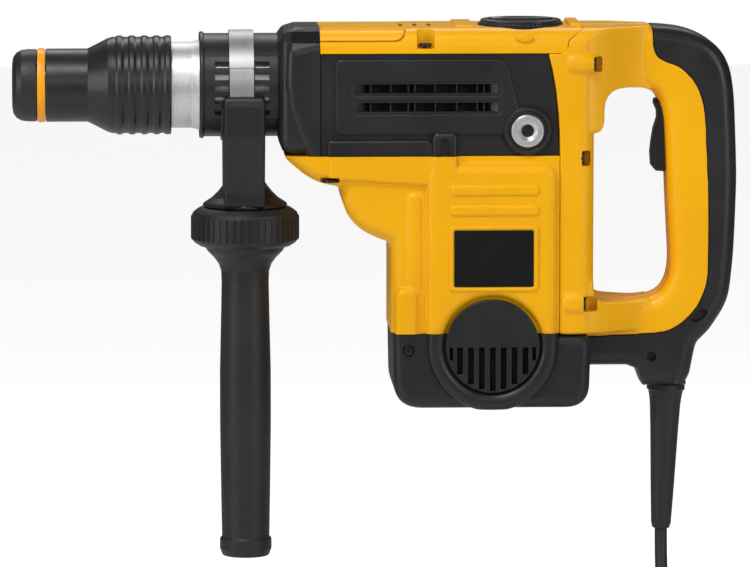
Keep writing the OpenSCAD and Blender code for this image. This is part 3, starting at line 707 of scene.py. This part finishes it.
for x in TOP_SLOTS:
    cutters.append(cutter(rect(x - 1.3, -12, x + 1.3, 12, 0.5), 36.2, 60, "Z"))
put(carve(top, cutters), "body", ["top_cover"])
# Dark sheets under the top slots: painted shade in the slots.
for n, x in enumerate(TOP_SLOTS):
    slot_shade_floor = rect(x - 1.5, -12.2, x + 1.5, 12.2)
    put(plate("top_slot_shade_%d" % n, SHADE_BLACK, slot_shade_floor, 35.9, 36.5, 0.2, axis="Z"), "body")
for x0, x1, rise in ((267, 279.5, 1.4), (339, 347, 2.2)):
    pad = rect(x0, -27, x1, 27, 2)
    pad = plate("top_pad_%d" % x0, YELLOW, pad, TOP_Z - 1.6, TOP_Z + rise, 1.3, axis="Z")
    put(pad, "body")
for label, side in SIDES:
    mark = plate("%s_dial_mark" % label, YELLOW, ellipse(DIAL_X, 31.6, 5.2, 2.6, 32), 37, 41.9, 0.9)
    on_side(side, mark)

# ---------------------------------------------------------------- side covers

cover_edge = [(324.4, 22), (327.0, 12), (329.2, 0), (330.8, -14), (331.6, -28), (331.8, SEAM_Z)]
side_line = [(COVER_X, SEAM_Z), (COVER_X, 22)] + cover_edge
raised = fillet([(192.4, -28), (302.5, -28), (307, -14), (300.5, 11), (297, 18.6), (192.4, 18.6)], 5)
SLOT_Z = (-15.2, -3.7)
for label, side in SIDES:
    slot_loops = [rect(205.5, z, 293, z + 8.1, 1.5) for z in SLOT_Z]
    base = plate("%s_cover_base" % label, BLACK, side_line, 33.8, 39.6, 0.7, slot_loops)
    on_side(side, base, ["%s_side_cover" % label])
    slot_loops = [rect(203.5, z - 0.2, 295, z + 8.3, 1.5) for z in SLOT_Z]
    cover = plate("%s_cover_plate" % label, BLACK, raised, 39.2, 42, 1.1, slot_loops)
    on_side(side, cover)
    for n, z in enumerate(SLOT_Z):
        lip = plate("%s_slot_lip_%d" % (label, n), BLACK, rect(203.3, z - 0.4, 295.1, z + 8.5, 0.6),
                    36, 41.5, 1.6, [rect(204, z + 1.4, 294.4, z + 6.7, 0.4)])
        on_side(side, lip)
        for end, way in ((203.6, 1), (294.9, -1)):
            wedge = [(end, 36), (end, 41.6), (end + 1.6 * way, 41.2), (end + 8.4 * way, 36)]
            if way < 0:
                wedge.reverse()
            name = "%s_slot_end_%d_%d" % (label, n, end)
            slot_end = plate(name, BLACK, wedge, z - 0.1, z + 8.2, 0.3, back=0.3, axis="Z")
            on_side(side, slot_end)
        for k, x in enumerate((214, 226.5, 237.4, 241.4, 254.2, 267.4, 280.2, 284.4)):
            fin = rect(x, z - 0.5, x + 0.9, z + 8.6)
            fin = plate("%s_fin_%d_%d" % (label, n, k), BLACK, fin, 34.4, 40.4, 0.3)
            on_side(side, fin)
    # Dark sheet behind the side vent slots: painted shade inside the cover.
    slot_shade_floor = plate("%s_slot_floor" % label, SHADE_BLACK, rect(200, -19, 298, 8), 33.7, 34.4, 0.2)
    on_side(side, slot_shade_floor)
    ledge = fillet([(187.6, -31.6), (251, -31.6), (255, -36), (255, -60), (187.6, -60)], 3)
    ledge = carve(plate("%s_ledge" % label, BLACK, ledge, 38, 42.2, 1.8),
                  [cutter(rect(150, -90, 300, SEAM_Z - 0.1), 0, 80)])
    on_side(side, ledge)
    boss_cuts = [
        cutter(rect(150, -90, 300, SEAM_Z - 0.1), 0, 80),
        cutter(rect(258, -60, 263, -30.5, 2.4), 42.4, 80),
    ]
    boss = plate("%s_boss" % label, BLACK, rect(252.6, -60, 268.4, -27, 4), 38, 44.2, 2.4)
    on_side(side, carve(boss, boss_cuts))
    seat_line = [(37, 10.3), (37, 16.5), (41, 15.6), (43.4, 14.2), (43.6, 12.8), (42.2, 11.6),
                 (42.2, 10.3)]
    seat = lathe("%s_bush_seat" % label, BLACK, soften(seat_line, 0.7), (BUSH_X, 0, BUSH_Z), "Y")
    on_side(side, seat)
    bush_line = [(26, 4), (26, 8), (36, 8), (36, 10.2), (43.8, 10.2), (44.6, 9.4), (44.6, 6.2), (42.6, 4)]
    bush = lathe("%s_bush_metal" % label, NICKEL, soften(bush_line, 0.3), (BUSH_X, 0, BUSH_Z), "Y")
    on_side(side, bush, ["%s_handle_bush" % label])

# ---------------------------------------------------------------- motor housing

# Chin and throat of the housing, seen from the side.
belly = smooth_run([(161.2, -42), (163.2, -44.8), (167.3, -48.4), (173.5, -53.4), (180.4, -57.4),
                    (186, -59.4), (190.5, -60.3), (194.6, -61.6), (196.4, -65), (197.2, -70),
                    (199.2, -76.4), (202, -81.2), (206.2, -85.8), (212.2, -90.2), (219.7, -93.6),
                    (224.6, -95.6), (226.8, -98.6), (227.3, -104)])
motor_line = [(161.2, -30)] + belly + [(227.3, -170), (360, -170), (360, -30)]
low_cut = cutter(rect(140, -260, 420, -152.5), -80, 80)
top_cut = cutter(rect(140, -41.8, 420, 60), -80, 80)
rear_cut = cutter(rect(SHELL_X, -260, 420, 60), -80, 80)
hollow_line = [(-170, 0.1), (-170, 38.6), (-62, 38.6), (-62, 0.1)]
hollow = lathe("hollow_cutter", YELLOW, hollow_line, (MOTOR_X, 0, 0), "Z")
motor = plate("motor", YELLOW, motor_line, -41.4, 41.4, 9, back=9, steps=9)
parts = [carve(motor, [cutter(rect(140, -38, 420, 60), -80, 80)])]
for label, side in SIDES:
    raised = [
        plate("panel", YELLOW, rect(248.6, -240, 331.4, -46, 11), 34, 46, 6.5,
              [disc(MOTOR_X, VENT_Z, 30.2)], steps=8),
        plate("front_boss", YELLOW, rect(229.6, -170, 243.8, -124, 6), 38, 45.4, 3.4, steps=7),
        plate("front_rib", YELLOW, rect(236.4, -170, 247, -64, 5), 38, 43.2, 4, steps=7),
        plate("tail", YELLOW, rect(252.6, -57.5, 268.4, -30, 5), 38, 46.2, 2.8),
    ]
    skirt = [(187.6, -30), (262, -30), (262, -61.2), (252, -60.4), (225, -58.6), (187.6, -56.2)]
    raised.append(plate("skirt", YELLOW, fillet(skirt, 3), 36, 44.2, 2.6, steps=7))
    parts += [to_side(piece, side) for piece in raised]
    for n, z in enumerate((-66.4, -79)):
        rib = rect(263.2, z, 319.5, z + 7.6, 3.8)
        rib = plate("%s_motor_rib_%d" % (label, n), YELLOW, rib, 44.8, 47.2, 2.2, steps=7)
        on_side(side, rib)
    window = rect(266, -123.1, 315.7, -87.5, 1.5)
    surround = rect(262.8, -126, 318.9, -84.6, 3.4)
    surround = plate("%s_label_frame" % label, YELLOW, surround, 44.8, 47.1, 1.2, [window])
    on_side(side, surround)
motor = fused("motor_housing_moulding", YELLOW, parts, 0.7, 4)
lug_cuts = [to_side(cutter(rect(183.2, -58.2, 195, -54.8, 0.8), 34, 60), side) for _, side in SIDES]
motor = carve(motor, [low_cut, top_cut, rear_cut, hollow] + lug_cuts)
put(motor, "body", ["motor_housing"])
blank = plate("label_blank", LABEL, rect(266.2, -122.9, 315.5, -87.7, 1.3), 45.4, 46.7, 0.25)
on_side(-1, blank, ["label_plate"])
lug_line = [(-58.1, 0.1), (-58.1, 4.4), (-56.2, 4.4), (-56.2, 0.1)]
for label, side in SIDES:
    lug = lathe("%s_front_screw" % label, SCREW, soften(lug_line, 0.5), (189.2, 38.6, 0), "Z", 32)
    on_side(side, lug)

# ---------------------------------------------------------------- end cap

cap_line = fillet([(227.4, -110, 0), (229, -199.8, 18), (350.8, -199.8, 15), (352.2, -153.8, 7),
                   (SHELL_X, -153.8, 0), (SHELL_X, -110, 0)], 10, 9)
cap = plate("end_cap_shell", BLACK, cap_line, -43, 43, 6.5, back=6.5)
well_line = [(-196, 0.1), (-196, 38.6), (-140, 38.6), (-140, 0.1)]
cap_cuts = [
    cutter(rect(150, CAP_SEAM_Z, 420, -90), -80, 80),
    lathe("well_cutter", BLACK, well_line, (MOTOR_X, 0, 0), "Z"),
    cutter(disc(MOTOR_X, VENT_Z, 29), -80, 80),
    cutter(disc(CAP_SCREW_X, CAP_SCREW_Z, 3.7, 32), 41, 80),
    cutter(disc(CAP_SCREW_X, CAP_SCREW_Z, 3.7, 32), -80, -41),
]
put(carve(cap, cap_cuts), "body", ["end_cap"])
rim_line = [(MOTOR_X - 41.2, -110)]
rim_line += [(MOTOR_X + 41.2 * math.cos(math.radians(a)), VENT_Z + 41.2 * math.sin(math.radians(a)))
             for a in range(180, 361, 4)]
rim_line += [(MOTOR_X + 41.2, -110)]
grille_slots = []
for i in range(-4, 5):
    x = i * 6.8 if abs(i) < 4 else i * 6.45
    w = 1.7 if abs(i) < 4 else 1.0
    reach = math.sqrt(28.2 ** 2 - (abs(x) + w) ** 2)
    x0, x1 = MOTOR_X + x - w, MOTOR_X + x + w
    grille_slots.append([(x0, -161), (x0, VENT_Z - reach), (x1, VENT_Z - reach), (x1, -161)])
for label, side in SIDES:
    vent_hole = disc(MOTOR_X, VENT_Z, 29.6)
    rim = plate("%s_vent_rim" % label, BLACK, rim_line, 36, 47, 5.5, [vent_hole], steps=8)
    rim = carve(rim, [cutter(rect(150, CAP_SEAM_Z, 420, -90), -80, 80),
                      cutter(rect(150, -230, 420, -200.2), -80, 80)])
    on_side(side, rim)
    grille = disc(MOTOR_X, VENT_Z, 29.2, 96)
    grille = plate("%s_vent_plate" % label, BLACK, grille, 42, 46.4, 0.7, grille_slots)
    on_side(side, grille, ["%s_vent_grille" % label])
    # Dark disc behind the grille: painted shade inside the vent.
    shade_disc = plate("%s_vent_baffle" % label, SHADE_BLACK, disc(MOTOR_X, VENT_Z, 29.2, 64), 39.4, 40.2, 0.2)
    on_side(side, shade_disc)

# ---------------------------------------------------------------- D-handle

# Seam between the yellow shells and the black grip, from the top round to the foot.
boundary = smooth_run([(391.2, 37.2), (391.6, 32.4), (392, 24), (394.2, 18.4), (399.5, 15), (406.7, 12.4),
                       (412.3, 8.3), (417.8, 1.9), (421.7, -6.2), (424.2, -17.3), (425.3, -35),
                       (426.9, -72.8), (426.9, -111.3), (425.7, -124.6), (422.3, -134), (419.2, -139.7),
                       (412.3, -147.3), (406.7, -151.4), (399, -154.6), (382.6, -156), (352.3, -157.2)],
                       3)
# Outer edge of the handle, from the top round to the foot.
outside = smooth_run([(389.8, 37.2), (398.6, 36.8), (410.4, 35.2), (421, 31.6), (429.8, 26.2),
                      (436.1, 19.2), (440.1, 10.6), (442.1, 1), (443.3, -11), (444.2, -31.8),
                      (444.8, -50), (444.8, -66), (443.6, -98.7), (442.1, -118), (440.4, -130.9),
                      (437.6, -139.1), (433.6, -146), (428, -154.2), (423.3, -159.1), (420.4, -162.4),
                      (418.7, -168), (416.1, -181.4)], 3)
foot = fillet([(414.8, -189.2, 2), (386.2, -189.2, 2), (382.2, -178.6, 4), (376, -176.2, 4),
               (322, -176.2, 0), (322, TOP_Z, 0)], 3)
# Opening for the hand.
opening = smooth_run([(353.6, -80), (353.7, -36), (354.4, -30), (358.6, -26), (360.2, -21), (360.3, -14),
                      (361.6, -7.4), (365.4, -2.9), (371, -1), (380, -0.8),
                      (388, -2), (394.6, -7.2), (398.8, -18), (400.4, -40), (401.5, -66.5), (402.7, -90),
                      (403.6, -108), (402.6, -119.6), (399.4, -127.2), (393.6, -132), (383, -134.6),
                      (369, -135), (360.4, -134.4), (355.4, -131), (353.7, -125), (353.6, -110)], 4, True)


def ring_body(name, material):
    """The whole D-handle, before it is parted into its mouldings."""
    return plate(name, material, outside + foot, -HANDLE_HALF, HANDLE_HALF, 9, [opening], back=9, steps=9)


def inner_prism(grow):
    """Everything inside the seam between the yellow shells and the black grip."""
    seam = [(x + grow, z - grow * (1 if z < -120 else -1)) for x, z in boundary]
    line = [(300, 80), (seam[0][0], 80)] + seam + [(340, seam[-1][1]), (300, seam[-1][1])]
    return cutter(line, -60, 60)


def half_space(side):
    """Box on one side of the handle's centre plane."""
    low, high = (0.1, 70) if side > 0 else (-70, -0.1)
    return cutter(rect(300, -300, 500, 90), low, high)


grip_cuts = [
    inner_prism(0.35),
    cutter(rect(300, -200, 352.3, -100), -60, 60),
]
for side in (-1, 1):
    oval = placed(cutter(ellipse(0, 0, 5.8, 2.9, 40), 17.6, 40), (421.5, 0, -144.5), -38)
    grip_cuts.append(to_side(oval, side))
    grip_cuts.append(to_side(cutter(disc(391.5, -170.4, 3, 32), 17, 40), side))
put(carve(ring_body("rear_grip_moulding", BLACK), grip_cuts), "body", ["handle_grip"])

core_line = fillet([(356, -170), (410, -170), (422, -154), (435, -130), (439, -98), (440, -50), (437, -5),
                    (432, 12), (422, 25), (408, 31), (390, 33), (356, 33)], 6)
core_hole = rect(352, -141, 409, 6, 14)
core = plate("handle_core", BLACK, core_line, -16, 16, 1, [core_hole], back=1)
core = carve(core, [cutter(rect(340, -150, 358, 20), -60, 60)])
put(core, "body")

# The shells' upright next to the body, and the room that the covers leave it.
column_line = [(310, -153.6), (310, 60), (353.8, 60), (353.8, -153.6)]
column_keep = [(332.2, -153.6)] + [(x + 0.35, z) for x, z in reversed(cover_edge[1:])]
column_keep += [(324.8, 21.9), (333.5, 21.9), (335.2, 22.9), (337.2, 25.2), (337, 27.3), (338, 30.2),
                (347.2, TOP_Z + 0.1), (390, TOP_Z + 0.1), (390, -153.6)]
# The arms seen from above, narrowing from the body's width to the grip's.
shoulder_line = smooth_run([(318, -42), (330, -42), (342, -42), (352, -39.6), (362, -34.6), (370, -29.6),
                            (378, -24.8), (384, -21.6), (390, -19.2), (396, -18)], 4)
shoulder_line = shoulder_line + [(x, -y) for x, y in reversed(shoulder_line)]
shoulder_section = fillet([(-42, -300, 0), (42, -300, 0), (42, TOP_Z), (-42, TOP_Z)], 13, 8)
# Head face, height and rear end of the pocket of each handle screw.
SCREW_PLACES = ((354.6, 15, 358.6), (347.3, -43.4, 351.2), (348.6, -134.6, 356))
SCREW_Y = 37.8
for label, side in SIDES:
    ring = carve(ring_body("ring", YELLOW), [inner_prism(0)], "INTERSECT")
    ring = carve(ring, [cutter(rect(300, -200, 332.4, 60), -60, 60)])
    parts = [carve(ring, [half_space(side)], "INTERSECT")]
    post = plate("post", YELLOW, column_line, -42, 42, 9, back=9, steps=9)
    arms = [post]
    for low, high in ((-28, TOP_Z), (-153.6, -120)):
        arms.append(plate("arm", YELLOW, shoulder_line, low, high, 2, back=2, axis="Z", steps=4))
    for arm in arms:
        arm = carve(arm, [cutter(column_keep, -70, 70)], "INTERSECT")
        arm = carve(arm, [cutter(shoulder_section, 300, 420, "X")], "INTERSECT")
        arm = carve(arm, [cutter(opening, -80, 80)])
        parts.append(carve(arm, [half_space(side)], "INTERSECT"))
    for x0, z0, x1, z1 in ((334.6, 8.8, 356, 22), (332.9, -141.4, 350, -127)):
        lug = plate("lug", YELLOW, rect(x0, z0, x1, z1, 6.4), 34, 44.4, 5.6, steps=8)
        parts.append(to_side(lug, side))
    shell = fused("handle_%s_moulding" % label, YELLOW, parts)
    pockets = []
    for x, z, rear in SCREW_PLACES:
        pocket = cutter(rect(x - 1.6, z - 4.8, rear, z + 4.8, 1.4), 33.2, 60)
        pockets.append(to_side(pocket, side))
    shell = carve(shell, pockets)
    put(shell, "body", ["handle_%s_shell" % label])

trigger_line = fillet([(393.9, -9.5), (393.6, -12.6), (395.6, -17.2), (395.8, -21.5), (393.6, -28.6),
                       (392.4, -36), (391.6, -43.2), (392.1, -51.4), (394.6, -54.5), (400, -55),
                       (403.8, -52), (404.2, -30), (407.6, -16), (407.6, -9.9), (404, -8.8)], 1.5, 3)
trigger = plate("trigger_paddle", BLACK, trigger_line, -9, 9, 2.2, back=2.2)
put(trigger, "trigger_lever", ["trigger"])

# ---------------------------------------------------------------- screws and dial


def star(x, z, r):
    """Six-lobed socket outline."""
    out = []
    for k in range(72):
        a = 2 * math.pi * k / 72
        lobed = r * (1 + 0.22 * math.cos(6 * a))
        out.append((x + lobed * math.cos(a), z + lobed * math.sin(a)))
    return out


def screw(name, x, z, radius, face, axis="Y"):
    """Screw head with a six-lobed socket over its own floor."""
    round_line = disc(x, z, radius, 40)
    socket = star(x, z, radius * 0.42)
    head = plate(name, SCREW, round_line, face - 1.4, face, 0.5, [socket], axis=axis)
    base = plate(name + "_floor", SCREW, round_line, face - 2.2, face - 1.3, 0.1, axis=axis)
    return [head, base]


for n, (x, z, _) in enumerate(SCREW_PLACES):
    for label, side in SIDES:
        for piece in screw("handle_screw_%s_%d" % (label, n), SCREW_Y * side, z, 4.2, x, "X"):
            stands_for = ["handle_screws"] if piece.name == "handle_screw_left_0" else ()
            put(piece, "body", stands_for)
for label, side in SIDES:
    for piece in screw("cap_screw_%s" % label, CAP_SCREW_X, CAP_SCREW_Z, 3.3, 42.2):
        stands_for = ["end_cap_screws"] if piece.name == "cap_screw_left" else ()
        on_side(side, piece, stands_for)
    for piece in screw("top_screw_%s" % label, 248.6, 37.2 * side, 3.7, 28.4, "Z"):
        stands_for = ["top_screw"] if piece.name == "top_screw_left" else ()
        put(piece, "body", stands_for)

dial_line = []
for k in range(720):
    a = 2 * math.pi * k / 720
    r = 26.3 - 0.4 * max(0, math.cos(60 * a))
    dial_line.append((DIAL_X + r * math.cos(a), r * math.sin(a)))
dial_skirt = plate("dial_skirt", BLACK, dial_line, 34.6, 39.3, 1.4, axis="Z")
put(dial_skirt, "selector", ["selector_dial"])
dial_top_line = [(38.9, 0.1), (38.9, 25.4), (40.3, 25.2), (40.9, 24.2), (40.9, 20.4), (39.9, 19.4),
                 (39.9, 0.1)]
dial_rim = lathe("dial_rim", BLACK, soften(dial_top_line, 0.5), (DIAL_X, 0, 0), "Z")
put(dial_rim, "selector")
bar = fillet([(DIAL_X - 20, -5), (DIAL_X + 20, -5), (DIAL_X + 20, 5), (DIAL_X - 20, 5)], 4.5)
put(plate("dial_bar", BLACK, bar, 38.9, 41.7, 1.4, axis="Z"), "selector")
pointer = fillet([(DIAL_X - 18, -1.6), (DIAL_X - 11, 0), (DIAL_X - 18, 1.6)], 0.3)
put(plate("dial_pointer", WHITE, pointer, 41.5, 41.85, 0.05, axis="Z"), "selector")

# ---------------------------------------------------------------- cord

guard_profile = [(0, 0.1), (0, 12), (-3.8, 12), (-4.8, 11), (-8, 10.3), (-14, 9.6), (-30, 8.8),
                 (-50, 8.0), (-70, 7.2), (-89, 6.3), (-92.4, 5.4), (-92.4, 3.95), (-60, 3.95), (-60, 0.1)]
guard = lathe("cord_guard_boot", RUBBER, soften(guard_profile, 0.8), (0, 0, 0), "Z")
put(placed(guard, (GUARD_X, 0, -189.4), 1.7), "body", ["cord_guard"])

half_width = COIL_TURNS / 2 * COIL_PITCH
plug_side = (COIL_TURNS - 1) / 2 * COIL_PITCH


def ease(t):
    """Smooth step from 0 to 1."""
    t = min(max(t, 0), 1)
    return 3 * t * t - 2 * t ** 3


# Down from the guard, round the coil, then down to the plug.
route = []
DROP_STEPS = 20
for k in range(DROP_STEPS + 1):
    z = CORD_TOP + (COIL_Z - CORD_TOP) * k / DROP_STEPS
    route.append((CORD_X, -half_width * ease((CORD_TOP - 4 - z) / 96), z))
STEPS_PER_TURN = 24
total = COIL_TURNS * STEPS_PER_TURN
for k in range(1, total + 1):
    a = 2 * math.pi * k / STEPS_PER_TURN
    y = -half_width + (2 * half_width) * k / total
    route.append((CORD_X - COIL_R + COIL_R * math.cos(a), y, COIL_Z - COIL_R * math.sin(a)))
TAIL_STEPS = 12
for k in range(1, TAIL_STEPS + 1):
    t = k / TAIL_STEPS
    route.append((CORD_X, half_width + (plug_side - half_width) * ease(t), COIL_Z - (TAIL + 4) * t))
cord_curve = bpy.data.curves.new("power_cord", "CURVE")
cord_curve.dimensions = "3D"
cord_curve.bevel_depth = CORD_D / 2 * MM
cord_curve.bevel_resolution = 5
cord_curve.use_fill_caps = True
spline = cord_curve.splines.new("POLY")
spline.points.add(len(route) - 1)
for point, place in zip(spline.points, route):
    point.co = (*[c * MM for c in place], 1)
cord_obj = bpy.data.objects.new("power_cord", cord_curve)
cord_obj.data.materials.append(CORD)
bpy.context.scene.collection.objects.link(cord_obj)
put(cord_obj, "body", ["cord", "cord_coil"])

tie_w = half_width + CORD_D / 2 + 0.5
tie_z = COIL_Z + COIL_R
tie_line = rect(-tie_w - 1, tie_z - 5.8, tie_w + 1, tie_z + 5.8, 4)
tie_hole = rect(-tie_w, tie_z - 4.7, tie_w, tie_z + 4.7, 3.5)
tie = plate("cord_strap", RUBBER, tie_line, CORD_X - COIL_R - 7, CORD_X - COIL_R + 7, 0.4, [tie_hole],
            0.4, "X")
put(tie, "body", ["cord_tie"])

plug_place = (CORD_X, plug_side, COIL_Z - TAIL)
plug_line = [(6, 3.95), (6, 5.6), (0, 6.4), (-10, 9), (-20, 15), (-26, 17), (-37, 17), (-38, 16),
             (-38, 0.1), (-6, 0.1), (-6, 3.95)]
plug = lathe("plug_body", RUBBER, soften(plug_line, 1.2), plug_place, "Z")
put(plug, "body", ["cord_plug"])
for n, s in enumerate((-1, 1)):
    pin_line = [(-37, 0.1), (-37, 2.4), (-56, 2.4), (-57, 1.4), (-57, 0.1)]
    pin_place = (CORD_X, plug_side + 9.5 * s, COIL_Z - TAIL)
    pin = lathe("plug_pin_%d" % n, STEEL, soften(pin_line, 0.5), pin_place, "Z", 32)
    put(pin, "body")
